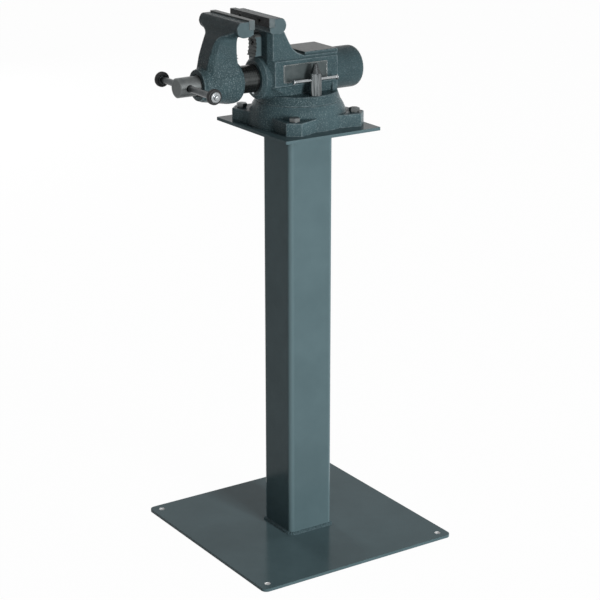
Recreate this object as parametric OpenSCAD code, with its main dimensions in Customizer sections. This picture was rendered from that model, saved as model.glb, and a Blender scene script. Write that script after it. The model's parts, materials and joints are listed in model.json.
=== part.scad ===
/* [Floor plate] */
// Side of the square floor plate
floor_w = 457.2; // [380:0.1:600]
// Thickness of the floor plate
floor_t = 6.35; // [5:0.05:12]
// Radius of the floor plate's corners
floor_corner_r = 12; // [4:1:30]
// Distance from the plate's edge to the centre of a floor bolt hole
floor_hole_inset = 20.6; // [18:0.1:60]
// Diameter of the floor bolt holes
floor_hole_d = 12; // [8:0.5:16]

/* [Column] */
// Outer width of the square tube
column_w = 101.6; // [80:0.1:120]
// Wall of the square tube
column_wall = 4.8; // [3:0.1:9]
// Outer corner radius of the square tube
column_corner_r = 11; // [10:0.5:16]
// Length of the square tube
column_len = 846; // [500:1:1100]
// Leg of the fillet weld round the tube's ends
weld_leg = 6.5; // [4:0.5:10]

/* [Head plate] */
// Size of the head plate along the vise
head_l = 218; // [190:1:280]
// Size of the head plate across the vise
head_w = 252; // [220:1:320]
// Thickness of the head plate
head_t = 6.35; // [5:0.05:12]
// Radius of the head plate's corners
head_corner_r = 2.5; // [1:0.5:10]

/* [Swivel base] */
// Height of the swivel base
base_h = 47; // [42:0.5:60]
// Radius of the swivel base where it stands on the plate
base_foot_r = 98; // [94:0.5:104]
// Radius of the swivel base at the parting line
base_top_r = 83.5; // [81:0.5:90]
// Height of the bolting lugs
lug_h = 26; // [20:0.5:32]
// Distance from the swivel axis to a lug's outer face
lug_reach = 128; // [126:0.5:135]
// Width of a lug's outer face
lug_face_w = 30; // [24:0.5:40]
// Angle at which a lug's sides widen towards the base
lug_flare = 33; // [20:1:40]
// Bolt spacing along the vise
bolt_pitch_x = 146; // [136:0.5:150]
// Bolt spacing across the vise
bolt_pitch_y = 168; // [156:0.5:172]
// Turn of the bolted base about the swivel axis
base_turn = 4.5; // [0:0.5:8]
// Radius of the T-slot's middle line
slot_r = 66; // [64:0.5:68]

/* [Vise body] */
// Height of the slide's axis above the head plate
axis_h = 98; // [95:0.5:105]
// Distance from the swivel axis to the fixed insert's face
jaw_reach = 109; // [106:0.5:125]
// Distance from the swivel axis to the body's rear face
body_rear = 62; // [55:1:80]
// Outer radius of the barrel
barrel_r = 41; // [38:0.5:44]
// Half width of the body across its side panels
side_y = 47; // [45:0.5:50]
// Height of the side panels' upper edge
panel_top = 134; // [130:0.5:137]
// Height of the flat skirt shoulder under the lock nuts
shoulder_h = 64.8; // [62:0.2:68]
// Height of the anvil face
anvil_h = 145.5; // [142:0.5:155]
// Length of the anvil face
anvil_l = 76; // [60:1:90]
// Width of the anvil face
anvil_w = 82; // [60:1:86]
// Length of the rear cap behind the body
cap_len = 71; // [68:1:90]
// Thickness of the rear cap's wall
cap_wall = 6; // [4:0.5:9]

/* [Jaws] */
// Width of the jaws
jaw_w = 139.7; // [110:0.1:152]
// Height of the jaw inserts' upper edge above the head plate
jaw_top = 223; // [215:0.5:235]
// Opening between the jaw inserts at rest
jaw_gap = 32; // [20:0.5:60]
// Widest opening between the jaw inserts
jaw_open_max = 127; // [100:1:130]
// Thickness of a jaw insert
insert_t = 12; // [9:0.5:13]
// Height of a jaw insert
insert_h = 18; // [14:0.5:22]
// Amount by which an insert stands proud of its casting
insert_proud = 2; // [1:0.25:3]
// Radius of the round bar along the top of each jaw
bar_r = 16; // [14:0.5:18]
// Half width of the fixed jaw's neck
neck_y = 32; // [26:1:40]
// Width of a pipe jaw
pipe_jaw_w = 28; // [22:1:32]
// Height of a pipe jaw
pipe_jaw_h = 42; // [34:1:44]
// Teeth on a pipe jaw
pipe_teeth = 6; // [5:1:9]

/* [Slide and spindle] */
// Outer diameter of the slide tube
tube_d = 53; // [50:0.5:56]
// Wall of the slide tube
tube_wall = 6.5; // [5:0.5:8]
// Radius of the moving jaw's hub
hub_r = 42; // [38:0.5:45]
// Diameter of the spindle's head
spindle_head_d = 38; // [34:0.5:44]
// Length of the spindle's head
spindle_head_l = 46; // [42:0.5:60]
// Diameter of the spindle's journal in the hub
journal_d = 25; // [22:0.5:28]
// Diameter of the spindle's screw
screw_d = 22; // [18:0.5:24]

/* [Handle] */
// Diameter of the handle bar
handle_d = 12.7; // [10:0.1:15]
// Length of the handle bar between its rubber rings
handle_l = 183; // [140:1:240]
// Distance by which the handle is pushed through towards the near side
handle_shift = 8.5; // [0:0.5:20]
// Diameter of the rubber rings at the handle's ends
ring_d = 29.5; // [26:0.5:34]
// Thickness of the rubber rings
ring_t = 9; // [6:0.5:12]

/* [Swivel locks] */
// Diameter of the tall lock nuts
lock_nut_d = 23.6; // [21:0.2:25]
// Height of the tall lock nuts
lock_nut_h = 43.2; // [38:0.2:50]
// Diameter of the T-bolts in the swivel slot
stud_d = 12; // [10:0.5:12.5]
// Diameter of the lock bars
lock_bar_d = 6.5; // [5:0.5:8]
// Length of the lock bars
lock_bar_l = 102; // [80:1:120]

/* [Fasteners] */
// Thread diameter of the mounting bolts
mount_bolt_d = 12.7; // [10:0.1:13]
// Thread diameter of the insert screws
cap_screw_d = 8; // [6:0.5:8]

/* [Hidden] */

// Facets: exact rounds stay exact, hulls use the lower count
$fn = 64;
hull_fn = 32;
hex_fn = 6;
// Overrun of every cut
cut = 1;
// Overlap of shapes that are cast in one
sink = 2;
// Radial clearance of running fits and of seats that are pushed together
run_fit = 0.05;
seat_fit = 0.1;
// Gap between faces that move past each other
move_gap = 0.3;

// Levels and places that several pieces share
deck_z = floor_t + column_len + head_t;
floor_hole = floor_w / 2 - floor_hole_inset;
bolt_ring_r = norm([bolt_pitch_x, bolt_pitch_y]) / 2;
bolt_angle = atan2(bolt_pitch_y, bolt_pitch_x);
bolt_angles = [for (s = [0, 180]) for (a = [bolt_angle, 180 - bolt_angle]) a + s + base_turn];
bolt_hole_r = mount_bolt_d / 2 + 0.4 * (mount_bolt_d / 12.7);

// Swivel base: bell outline as shares of its height and of the step in radius
bell_shares = [[0, 1], [0.3, 0.94], [0.47, 0.82], [0.82, 0.38], [1, 0]];
base_lip_t = 11;
tee_room_h = 13;
tee_room_w = 26;
base_floor_t = 12;
slot_w = stud_d + 1.2 * (stud_d / 12);
spigot_r = 30;
spigot_l = 27;
pocket_rim = 11;
pocket_hub = 10;
port_r = tee_room_w / 2;

// Fixed body
skirt_z = base_h + move_gap;
skirt_edge_r = 78;
skirt_round = 2.4;
ring_face_set = 6.2;
ring_x = -(jaw_reach - ring_face_set);
ring_chamfer = 7;
bore_r = tube_d / 2 + run_fit;
panel_front = -82.4;
panel_low = 84;
foot_y = 39;
foot_front = -70;
foot_front_y = 24;
foot_taper = 24;
foot_side = 50;
rear_flange_t = 12;
cap_seat_r = 36;
cap_seat_l = 12;
cap_round = 12;
cap_end_t = 13;
anvil_t = 6;
anvil_step_t = anvil_h - anvil_t - panel_top;
anvil_step = 3;
anvil_front = body_rear + 4 - anvil_l;
lock_x = -3;
stud_hole_r = stud_d / 2 + 0.3 * (stud_d / 12);

// Jaws, measured from each insert's face
bar_set = insert_t + 10;
bar_z = jaw_top - bar_r;
bar_flat = 2.5;
bar_front_low = 11;
insert_z = jaw_top - insert_h;
neck_set = 18;
neck_bevel_l = 7.5;
neck_top_z = 196;
neck_back_top = 40;
neck_back_high = 51.3;
neck_high_z = 188.8;
neck_back_mid = 60.2;
neck_mid_z = 170.8;
neck_back_low = 69.3;
neck_low_z = 155.5;
neck_back_foot = 80;
neck_foot_z = 146.5;
neck_back_end = 97;
panel_raise = 3.5;
flank_y = side_y - panel_raise;
front_face_x = -(jaw_reach + jaw_gap);

// Pipe jaws
pipe_jaw_z = 142;
pipe_jaw_t = 16;
pipe_sag = 3.5;
tooth_d = 2;
pipe_screw_z = pipe_jaw_z + 0.6 * pipe_jaw_h;

// Screws that hold inserts and pipe jaws
cap_head_d = 1.5 * cap_screw_d;
cap_head_h = 0.85 * cap_screw_d;
cap_key_d = 0.85 * cap_screw_d;
cap_key_t = 0.5 * cap_screw_d;
head_recess = cap_head_h + 0.6 * (cap_screw_d / 8);
thread_l = 15;
insert_screw_y = jaw_w / 4;
insert_screw_z = insert_z + insert_h / 2;

// Moving jaw, measured from its insert's face towards the front
hub_back = 1;
hub_round = 13;
hub_full = 24;
hub_front = 79.5;
hub_front_r = 32;
boss_r = 30;
boss_l = 6;
boss_recess = 4.5;
boss_bore_r = 21;
wall_t = 11;
slice_t = 1;
// Neck of the moving jaw: its reach to the front, half width and thickness at the rear
neck_reach = 76;
neck_half = 0.197 * jaw_w;
neck_rear_set = 13;
// Slices as shares: height up to the bar, then front, chamfer, and half width in front, behind
// the chamfer and at the rear
neck_shares = [[0, 0.97, 0.14, 0.65, 1.05, 1.05],
               [0.25, 0.99, 0.13, 0.65, 1.04, 1.04],
               [0.48, 0.91, 0.13, 0.7, 1, 1],
               [0.7, 0.79, 0.12, 0.74, 1, 1.03],
               [0.79, 0.72, 0.12, 0.82, 1.06, 1.12],
               [0.84, 0.65, 0.11, 1.0, 1.3, 1.42],
               [0.88, 0.57, 0.09, 1.45, 1.78, 1.9],
               [0.96, 0.49, 0.04, 2.3, 2.4, 2.4]];
// Slice where the neck spreads into the hub
root_share = [0.15, 0.98, 0.15, 0.66, 1.1, 1.42];

// Slide tube, nut and spindle
tube_front = front_face_x - hub_front - boss_l + boss_recess + wall_t;
tube_rear = body_rear + cap_len - cap_end_t - (jaw_gap - 0.5 * (jaw_gap / 32)) - 1.5 * (cap_len / 71);
tube_len = tube_rear - tube_front;
tube_in_r = tube_d / 2 - tube_wall;
nut_r = 16;
nut_wall_l = 10;
nut_front = -30;
nut_rear = body_rear + cap_len - cap_end_t + nut_wall_l;
key_w = 8;
key_l = 36;
key_deep = 3;
key_root = 4;
boss_x = front_face_x - hub_front - boss_l;
washer_r = 20.4;
washer_t = 3;
head_back = boss_x + boss_recess - washer_t;
head_front = head_back - spindle_head_l;
head_chamfer = 1;
collar_r = 18;
collar_l = 11;
collar_x = tube_front + move_gap;
pin_d = 4;
screw_rear = tube_rear + 2 * (cap_len / 71);

// Handle
handle_x = head_front + 0.42 * spindle_head_l;
handle_low = -handle_l / 2 - handle_shift;
handle_high = handle_low + handle_l;
stop_washer_d = 19;
stop_washer_t = 2.5;
end_d = 20;
end_t = 4;
end_boss_d = 9.5;
end_boss_t = 5;
end_taper = 1.5;
ring_round = 3;

// Swivel locks
lock_nut_z = shoulder_h;
lock_bar_z = lock_nut_z + 0.706 * lock_nut_h;
lock_cone_d = 0.86 * lock_nut_d;
lock_neck_d = 8;
lock_neck_h = 19;
lock_chamfer = 1.2;
lock_bar_end_d = 1.6 * lock_bar_d;
lock_bar_end_t = 4;
stud_top_gap = 3;
stud_top = lock_bar_z - lock_bar_d / 2 - stud_top_gap;
tee_d = tee_room_w - 2;
tee_h = 10;

// Name plate
plate_l = 100;
plate_h = 35;
plate_x = -13;
plate_z = 108.5;
plate_t = 1.5;
plate_rim = 1.6;
plate_proud = 0.9;
plate_corner = 3;

// Mounting hardware
bolt_head_w = 1.5 * mount_bolt_d;
bolt_head_h = 0.63 * mount_bolt_d;
bolt_face_h = 0.06 * mount_bolt_d;
bolt_tail = 0.45 * mount_bolt_d;

paint = [0.25, 0.31, 0.33];
stand_paint = [0.2, 0.25, 0.27];
steel = [0.62, 0.63, 0.64];
dark_steel = [0.2, 0.2, 0.2];
black = [0.06, 0.06, 0.06];

// Lifts a vise piece onto the head plate
module on_deck() {
    translate([0, 0, deck_z]) children();
}

// Prism with rounded vertical corners, centred, standing on its lower face
module rounded_block(l, w, h, r) {
    translate([-l / 2 + r, -w / 2, 0]) cube([l - 2 * r, w, h]);
    translate([-l / 2, -w / 2 + r, 0]) cube([l, w - 2 * r, h]);
    for (x = [-1, 1]) {
        for (y = [-1, 1]) translate([x * (l / 2 - r), y * (w / 2 - r), 0]) cylinder(h = h, r = r);
    }
}

// Solid of revolution about the slide's axis from [x, radius] points
module turned_x(points) {
    translate([0, 0, axis_h]) rotate([0, 90, 0]) rotate_extrude() polygon([for (p = points) [p[1], p[0]]]);
}

// Round bar along X at a given place
module rod_x(x0, x1, r, y = 0, z = axis_h) {
    translate([x0, y, z]) rotate([0, 90, 0]) cylinder(h = x1 - x0, r = r);
}

// Outline in the XZ plane, drawn out across the jaws
module across(w, points) {
    rotate([90, 0, 0]) linear_extrude(w, center = true) polygon(points);
}

// Outline in the YZ plane, drawn out from x0 to x1
module along(x0, x1, points) {
    translate([x0, 0, 0]) rotate([90, 0, 90]) linear_extrude(x1 - x0) polygon(points);
}

// Outline mirrored about the middle plane
function both_sides(points) =
    concat(points, [for (i = [len(points) - 1 : -1 : 0]) [-points[i][0], points[i][1]]]);

// Same outline read towards the rear from the fixed insert's face
module rear_jaw_frame() {
    translate([-jaw_reach, 0, 0]) children();
}

// Frame whose X runs from the moving insert's face towards the front
module front_jaw_frame() {
    translate([front_face_x, 0, 0]) mirror([1, 0, 0]) children();
}

// Fillet weld that runs round the square tube
module weld_ring() {
    half = column_w / 2;
    section = [[-seat_fit, 0], [weld_leg, 0], [0, weld_leg], [-seat_fit, weld_leg]];
    straight = column_w - 2 * column_corner_r;
    difference() {
        for (a = [0 : 90 : 270]) rotate([0, 0, a]) {
            translate([half, straight / 2, 0]) rotate([90, 0, 0]) linear_extrude(straight) polygon(section);
            translate([half - column_corner_r, half - column_corner_r, 0])
                rotate_extrude(angle = 90)
                    polygon([for (p = section) [p[0] + column_corner_r, p[1]]]);
        }
        translate([0, 0, -cut]) rounded_block(column_w, column_w, weld_leg + 2 * cut, column_corner_r);
    }
}

module floor_plate() {
    color(stand_paint) difference() {
        rounded_block(floor_w, floor_w, floor_t, floor_corner_r);
        for (x = [-1, 1]) {
            for (y = [-1, 1])
                translate([x * floor_hole, y * floor_hole, -cut])
                    cylinder(h = floor_t + 2 * cut, d = floor_hole_d);
        }
    }
}

module column_tube() {
    inner_w = column_w - 2 * column_wall;
    color(stand_paint) translate([0, 0, floor_t]) difference() {
        rounded_block(column_w, column_w, column_len, column_corner_r);
        translate([0, 0, -cut])
            rounded_block(inner_w, inner_w, column_len + 2 * cut, column_corner_r - column_wall);
    }
}

module foot_weld() {
    color(stand_paint) translate([0, 0, floor_t]) weld_ring();
}

module head_weld() {
    color(stand_paint) translate([0, 0, floor_t + column_len]) mirror([0, 0, 1]) weld_ring();
}

module head_plate() {
    color(stand_paint) translate([0, 0, deck_z - head_t]) difference() {
        rounded_block(head_l, head_w, head_t, head_corner_r);
        for (a = bolt_angles)
            rotate([0, 0, a]) translate([bolt_ring_r, 0, -cut])
                cylinder(h = head_t + 2 * cut, d = mount_bolt_d);
    }
}

// One bolting lug, its outer face square to the line from the swivel axis
module lug() {
    inner = slot_r;
    spread = lug_face_w / 2 + (lug_reach - inner) * tan(lug_flare);
    linear_extrude(lug_h)
        polygon([[lug_reach, lug_face_w / 2], [inner, spread], [inner, -spread],
                 [lug_reach, -lug_face_w / 2]]);
}

module swivel_base() {
    step = base_foot_r - base_top_r;
    room_z = base_h - base_lip_t - tee_room_h;
    pocket_h = room_z - base_floor_t;
    bell = [for (s = bell_shares) [base_top_r + s[1] * step, s[0] * base_h]];
    color(paint) on_deck() difference() {
        union() {
            rotate_extrude() polygon(concat([[0, 0]], bell, [[0, base_h]]));
            for (a = bolt_angles) rotate([0, 0, a]) lug();
        }
        translate([0, 0, -cut]) cylinder(h = base_h + 2 * cut, r = spigot_r + run_fit);
        // T-slot: narrow mouth over a wide room for the bolt heads
        rotate_extrude() translate([slot_r - slot_w / 2, room_z]) square([slot_w, base_h]);
        rotate_extrude() translate([slot_r - tee_room_w / 2, room_z]) square([tee_room_w, tee_room_h]);
        // Relief under the casting, and the port through which the bolt heads go in
        translate([0, 0, -cut]) difference() {
            cylinder(h = pocket_h + cut, r = base_top_r - pocket_rim);
            cylinder(h = pocket_h + cut, r = spigot_r + pocket_hub);
        }
        translate([slot_r, 0, -cut]) cylinder(h = room_z + 2 * cut, r = port_r);
        for (a = bolt_angles)
            rotate([0, 0, a]) translate([bolt_ring_r, 0, -cut])
                cylinder(h = lug_h + 2 * cut, r = bolt_hole_r);
    }
}

// Places a fastener at each mounting bolt
module at_bolts() {
    on_deck() for (a = bolt_angles) rotate([0, 0, a]) translate([bolt_ring_r, 0, 0]) children();
}

// Hex bolts through the lugs, screwed into the head plate
module mounting_bolts() {
    below = head_t + bolt_tail;
    color(steel) at_bolts() {
        translate([0, 0, lug_h]) cylinder(h = bolt_face_h, d = 0.95 * bolt_head_w);
        translate([0, 0, lug_h + bolt_face_h])
            cylinder(h = bolt_head_h - bolt_face_h, d = bolt_head_w / cos(30), $fn = hex_fn);
        translate([0, 0, -below]) cylinder(h = below + lug_h + sink, d = mount_bolt_d - 2 * seat_fit);
    }
}

// Round bar along the top of a jaw, squared towards the insert and milled flat on top
module jaw_bar() {
    face = insert_proud;
    low = bar_z - bar_front_low;
    top = jaw_top - bar_flat;
    difference() {
        union() {
            translate([bar_set, 0, bar_z]) rotate([90, 0, 0]) cylinder(h = jaw_w, r = bar_r, center = true);
            across(jaw_w, [[face, low], [face, top], [bar_set, top], [bar_set, bar_z - bar_r],
                           [face + bar_front_low * 0.6, bar_z - bar_r + insert_proud / 2]]);
        }
        // Milled top and insert seat
        translate([-jaw_w, -jaw_w, top]) cube([2 * jaw_w, 2 * jaw_w, bar_r]);
        translate([face - cut, -jaw_w, insert_z]) cube([insert_t - face + cut, 2 * jaw_w, insert_h]);
        for (s = [-1, 1])
            rod_x(0, insert_t + thread_l + cut, cap_screw_d / 2 + seat_fit, s * insert_screw_y,
                  insert_screw_z);
    }
}

module insert() {
    difference() {
        translate([0, -jaw_w / 2, insert_z]) cube([insert_t, jaw_w, insert_h]);
        for (s = [-1, 1]) {
            rod_x(-cut, head_recess, cap_head_d / 2 + move_gap, s * insert_screw_y, insert_screw_z);
            rod_x(0, insert_t + cut, cap_screw_d / 2 + move_gap, s * insert_screw_y, insert_screw_z);
        }
    }
}

// Socket-head screw whose head sits against depth x, shank towards +X
module cap_screw(x, l, y, z) {
    difference() {
        union() {
            rod_x(x - cap_head_h, x, cap_head_d / 2, y, z);
            rod_x(x - cap_head_h, x + l, cap_screw_d / 2, y, z);
        }
        translate([x - cap_head_h - cut, y, z]) rotate([0, 90, 0])
            cylinder(h = cap_key_t + cut, d = cap_key_d, $fn = hex_fn);
    }
}

module insert_screws() {
    for (s = [-1, 1])
        cap_screw(head_recess, insert_t - head_recess + thread_l, s * insert_screw_y, insert_screw_z);
}

// Toothed jaw below the inserts that grips pipe, its face bowed inwards
module pipe_jaw() {
    steps = 2 * pipe_teeth;
    face = neck_set - pipe_jaw_t;
    teeth = [for (i = [0 : steps])
        [face + pipe_sag * (1 - pow(2 * i / steps - 1, 2)) + tooth_d * (i % 2),
         pipe_jaw_z + pipe_jaw_h * i / steps]];
    difference() {
        across(pipe_jaw_w, concat(teeth, [[neck_set, pipe_jaw_z + pipe_jaw_h], [neck_set, pipe_jaw_z]]));
        rod_x(-cut, neck_set - insert_proud * 2, cap_head_d / 2 + move_gap, 0, pipe_screw_z);
        rod_x(0, neck_set + cut, cap_screw_d / 2 + move_gap, 0, pipe_screw_z);
    }
}

module pipe_jaw_screw() {
    cap_screw(neck_set - insert_proud * 2, insert_proud * 2 + thread_l, 0, pipe_screw_z);
}

// Cone-shaped skirt that turns on the swivel base, with its flat shoulder
module skirt() {
    rotate_extrude()
        polygon([[0, skirt_z], [base_top_r, skirt_z], [skirt_edge_r, shoulder_h - skirt_round],
                 [skirt_edge_r - skirt_round / 3, shoulder_h - skirt_round / 3],
                 [skirt_edge_r - skirt_round, shoulder_h], [0, shoulder_h]]);
}

// Plan of the fixed jaw's neck and flanks, with bevelled front corners
module flank_plan() {
    polygon(both_front([[body_rear + jaw_reach, -flank_y],
                        [neck_set + neck_bevel_l, -flank_y], [neck_set, -neck_y]]));
}

module body_casting() {
    color(paint) on_deck() difference() {
        union() {
            skirt();
            translate([0, 0, base_h - spigot_l]) cylinder(h = spigot_l + sink, r = spigot_r);
            // Barrel with its chamfered front ring
            turned_x([[ring_x, 0], [ring_x, barrel_r - ring_chamfer], [ring_x + ring_chamfer, barrel_r],
                      [body_rear, barrel_r], [body_rear, 0]]);
            // Side panels with the stepped anvil on top
            translate([panel_front, -side_y, panel_low])
                cube([body_rear - panel_front, 2 * side_y, panel_top - panel_low]);
            along(anvil_front - anvil_step, body_rear,
                  both_sides([[anvil_w / 2 + anvil_step, panel_top - sink],
                              [anvil_w / 2 + anvil_step, panel_top + anvil_step_t]]));
            along(anvil_front, anvil_front + anvil_l,
                  both_sides([[anvil_w / 2, panel_top], [anvil_w / 2, anvil_h]]));
            // Undercut foot between the panels and the skirt
            hull() {
                rear_jaw_frame() translate([0, 0, panel_low]) linear_extrude(slice_t) flank_plan();
                translate([0, 0, shoulder_h - sink]) linear_extrude(slice_t)
                    polygon([[foot_side, foot_y], [foot_front + foot_taper, foot_y],
                             [foot_front, foot_front_y], [foot_front, -foot_front_y],
                             [foot_front + foot_taper, -foot_y], [foot_side, -foot_y]]);
            }
            along(body_rear - rear_flange_t, body_rear,
                  both_sides([[side_y, shoulder_h - sink], [side_y, panel_top]]));
            // Fixed jaw and the flanks under its neck
            rear_jaw_frame() {
                jaw_bar();
                intersection() {
                    across(2 * flank_y + cut,
                           [[neck_set, panel_low], [neck_set, neck_top_z], [neck_back_top, neck_top_z],
                            [neck_back_high, neck_high_z], [neck_back_mid, neck_mid_z],
                            [neck_back_low, neck_low_z], [neck_back_foot, neck_foot_z],
                            [neck_back_end, anvil_h - anvil_t], [neck_back_end, panel_top - sink],
                            [body_rear + jaw_reach, panel_top - sink],
                            [body_rear + jaw_reach, panel_low]]);
                    translate([0, 0, panel_low]) linear_extrude(neck_top_z - panel_low) flank_plan();
                }
            }
        }
        rod_x(ring_x - cut, body_rear + cut, bore_r);
        rod_x(body_rear - cap_seat_l, body_rear + cut, cap_seat_r + seat_fit);
        rod_x(body_rear, base_top_r + cut, barrel_r + move_gap);
        for (s = [-1, 1])
            translate([lock_x, s * slot_r, skirt_z - cut])
                cylinder(h = shoulder_h - skirt_z + 2 * cut, r = stud_hole_r);
        rear_jaw_frame()
            rod_x(neck_set - cut, neck_set + thread_l + cut, cap_screw_d / 2 + seat_fit, 0, pipe_screw_z);
        // Key seat under the bore
        translate([ring_x, -key_w / 2, axis_h - bore_r - key_root]) cube([key_l, key_w, bore_r]);
        // Recess of the name plate
        translate([plate_x - plate_l / 2, -side_y - cut, plate_z - plate_h / 2])
            cube([plate_l, plate_t + cut, plate_h]);
    }
}

module rear_cap() {
    end = body_rear + cap_len;
    steps = [0 : 22.5 : 90];
    color(paint) on_deck() difference() {
        turned_x(concat([[body_rear - cap_seat_l, 0], [body_rear - cap_seat_l, cap_seat_r],
                         [body_rear, cap_seat_r], [body_rear, barrel_r]],
                        [for (a = steps) [end - cap_round + cap_round * sin(a),
                                          barrel_r - cap_round + cap_round * cos(a)]],
                        [[end, 0]]));
        rod_x(body_rear - cap_seat_l - cut, end - cap_end_t, barrel_r - cap_wall - sink);
        rod_x(end - cap_end_t - cut, nut_rear, nut_r + seat_fit);
    }
}

module spindle_nut() {
    color(dark_steel) on_deck() difference() {
        rod_x(nut_front, nut_rear, nut_r);
        rod_x(nut_front - cut, nut_rear + cut, screw_d / 2 + run_fit);
    }
}

module guide_key() {
    color(steel) on_deck()
        translate([ring_x, -key_w / 2 + seat_fit, axis_h - bore_r - key_root])
            cube([key_l, key_w - 2 * seat_fit, key_root + key_deep - move_gap]);
}

module name_plate() {
    field_l = plate_l - 2 * plate_rim;
    field_h = plate_h - 2 * plate_rim;
    color([0.45, 0.46, 0.47]) on_deck()
        translate([plate_x, -side_y + plate_t, plate_z]) rotate([90, 0, 0]) difference() {
            rounded_block(plate_l - 2 * seat_fit, plate_h - 2 * seat_fit, plate_t + plate_proud,
                          plate_corner);
            translate([0, 0, plate_t])
                rounded_block(field_l, field_h, plate_proud + cut, plate_corner - plate_rim / 2);
        }
}

module rear_insert() {
    color(dark_steel) on_deck() rear_jaw_frame() insert();
}

module rear_insert_screws() {
    color(black) on_deck() rear_jaw_frame() insert_screws();
}

module rear_pipe_jaw() {
    color(dark_steel) on_deck() rear_jaw_frame() pipe_jaw();
}

module rear_pipe_jaw_screw() {
    color(black) on_deck() rear_jaw_frame() pipe_jaw_screw();
}

// T-headed bolt that slides in the base's slot and holds a lock nut
module t_bolt(s) {
    head_z = base_h - base_lip_t - tee_h;
    color(dark_steel) on_deck() translate([lock_x, s * slot_r, head_z]) {
        cylinder(h = tee_h - move_gap, d = tee_d);
        cylinder(h = stud_top - head_z, d = stud_d);
    }
}

module t_bolt_near() { t_bolt(-1); }

module t_bolt_far() { t_bolt(1); }

// Horizontal slice of the moving jaw's neck, narrower towards the front
module neck_slice(share) {
    front = share[1] * neck_reach;
    ridge = front - share[2] * neck_reach;
    translate([0, 0, axis_h + share[0] * (bar_z - axis_h)]) linear_extrude(slice_t)
        polygon(both_front([[neck_rear_set, share[5] * neck_half], [ridge, share[4] * neck_half],
                            [front, share[3] * neck_half]]));
}

// Outline mirrored about the vise's middle plane
function both_front(points) =
    concat(points, [for (i = [len(points) - 1 : -1 : 0]) [points[i][0], -points[i][1]]]);

module front_jaw_casting() {
    full = -hub_back + hub_round;
    color(paint) on_deck() difference() {
        front_jaw_frame() {
            jaw_bar();
            hull() {
                for (i = [0 : 3]) neck_slice(neck_shares[i]);
            }
            for (i = [3 : 6]) {
                hull() {
                    neck_slice(neck_shares[i]);
                    neck_slice(neck_shares[i + 1]);
                }
            }
            hull() {
                neck_slice(neck_shares[2]);
                neck_slice(root_share);
            }
            // Hub round the slide tube, with the boss that takes the spindle's head
            turned_x(concat([[-hub_back, 0]],
                            [for (a = [0 : 22.5 : 90]) [full - hub_round * cos(a),
                                                        hub_r - hub_round + hub_round * sin(a)]],
                            [[hub_full, hub_r], [hub_front, hub_front_r], [hub_front, boss_r],
                             [hub_front + boss_l, boss_r], [hub_front + boss_l, 0]]));
        }
        rod_x(tube_front, front_face_x + hub_back + cut, tube_d / 2 + seat_fit);
        rod_x(boss_x - cut, tube_front + cut, journal_d / 2 + run_fit);
        rod_x(boss_x - cut, boss_x + boss_recess, boss_bore_r);
        front_jaw_frame() {
            // Pocket and screw hole of the pipe jaw
            translate([0, -pipe_jaw_w / 2 - seat_fit, pipe_jaw_z - seat_fit])
                cube([neck_set, pipe_jaw_w + 2 * seat_fit, pipe_jaw_h + 2 * seat_fit]);
            rod_x(neck_set - cut, neck_set + thread_l + cut, cap_screw_d / 2 + seat_fit, 0, pipe_screw_z);
        }
    }
}

module slide_tube() {
    slot_front = front_face_x + hub_back;
    color(dark_steel) on_deck() difference() {
        rod_x(tube_front, tube_rear, tube_d / 2);
        rod_x(tube_front - cut, tube_rear + cut, tube_in_r);
        translate([slot_front, -key_w / 2 - move_gap, axis_h - tube_d / 2 - cut])
            cube([tube_rear - slot_front + cut, key_w + 2 * move_gap, key_deep + cut]);
    }
}

module front_insert() {
    color(dark_steel) on_deck() front_jaw_frame() insert();
}

module front_insert_screws() {
    color(black) on_deck() front_jaw_frame() insert_screws();
}

module front_pipe_jaw() {
    color(dark_steel) on_deck() front_jaw_frame() pipe_jaw();
}

module front_pipe_jaw_screw() {
    color(black) on_deck() front_jaw_frame() pipe_jaw_screw();
}

module spindle() {
    head_r = spindle_head_d / 2;
    color(steel) on_deck() difference() {
        turned_x([[head_front, 0], [head_front, head_r - head_chamfer],
                  [head_front + head_chamfer, head_r], [head_back, head_r], [head_back, journal_d / 2],
                  [collar_x + collar_l, journal_d / 2], [collar_x + collar_l, screw_d / 2],
                  [screw_rear, screw_d / 2], [screw_rear, 0]]);
        translate([handle_x, 0, axis_h]) rotate([90, 0, 0])
            cylinder(h = spindle_head_d + 2 * cut, r = handle_d / 2 + run_fit, center = true);
        translate([collar_x + collar_l / 2, 0, axis_h])
            cylinder(h = journal_d + 2 * cut, r = pin_d / 2 + seat_fit, center = true);
    }
}

module thrust_washer() {
    color(steel) on_deck() difference() {
        rod_x(head_back, head_back + washer_t, washer_r);
        rod_x(head_back - cut, head_back + washer_t + cut, journal_d / 2 + run_fit);
    }
}

module retaining_collar() {
    color(steel) on_deck() difference() {
        rod_x(collar_x, collar_x + collar_l, collar_r);
        rod_x(collar_x - cut, collar_x + collar_l + cut, journal_d / 2 + seat_fit);
        translate([collar_x + collar_l / 2, 0, axis_h])
            cylinder(h = 2 * collar_r + 2 * cut, r = pin_d / 2 + seat_fit, center = true);
    }
}

module collar_pin() {
    color(steel) on_deck() translate([collar_x + collar_l / 2, 0, axis_h])
        cylinder(h = 2 * collar_r - pin_d / 2, d = pin_d, center = true);
}

// Handle pieces stand on the spindle's axis, along Y
module on_handle(y, s) {
    on_deck() translate([handle_x, y, axis_h]) rotate([s * -90, 0, 0]) children();
}

module handle_bar() {
    color(steel) on_handle(handle_low - ring_t, 1) cylinder(h = handle_l + 2 * ring_t, d = handle_d);
}

// Steel washers on the inner side of the rubber rings
module handle_washers() {
    for (s = [[handle_low, 1], [handle_high, -1]])
        color(steel) on_handle(s[0], -s[1]) translate([0, 0, -stop_washer_t]) difference() {
            cylinder(h = stop_washer_t, d = stop_washer_d);
            translate([0, 0, -cut]) cylinder(h = stop_washer_t + 2 * cut, r = handle_d / 2 + seat_fit);
        }
}

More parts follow.
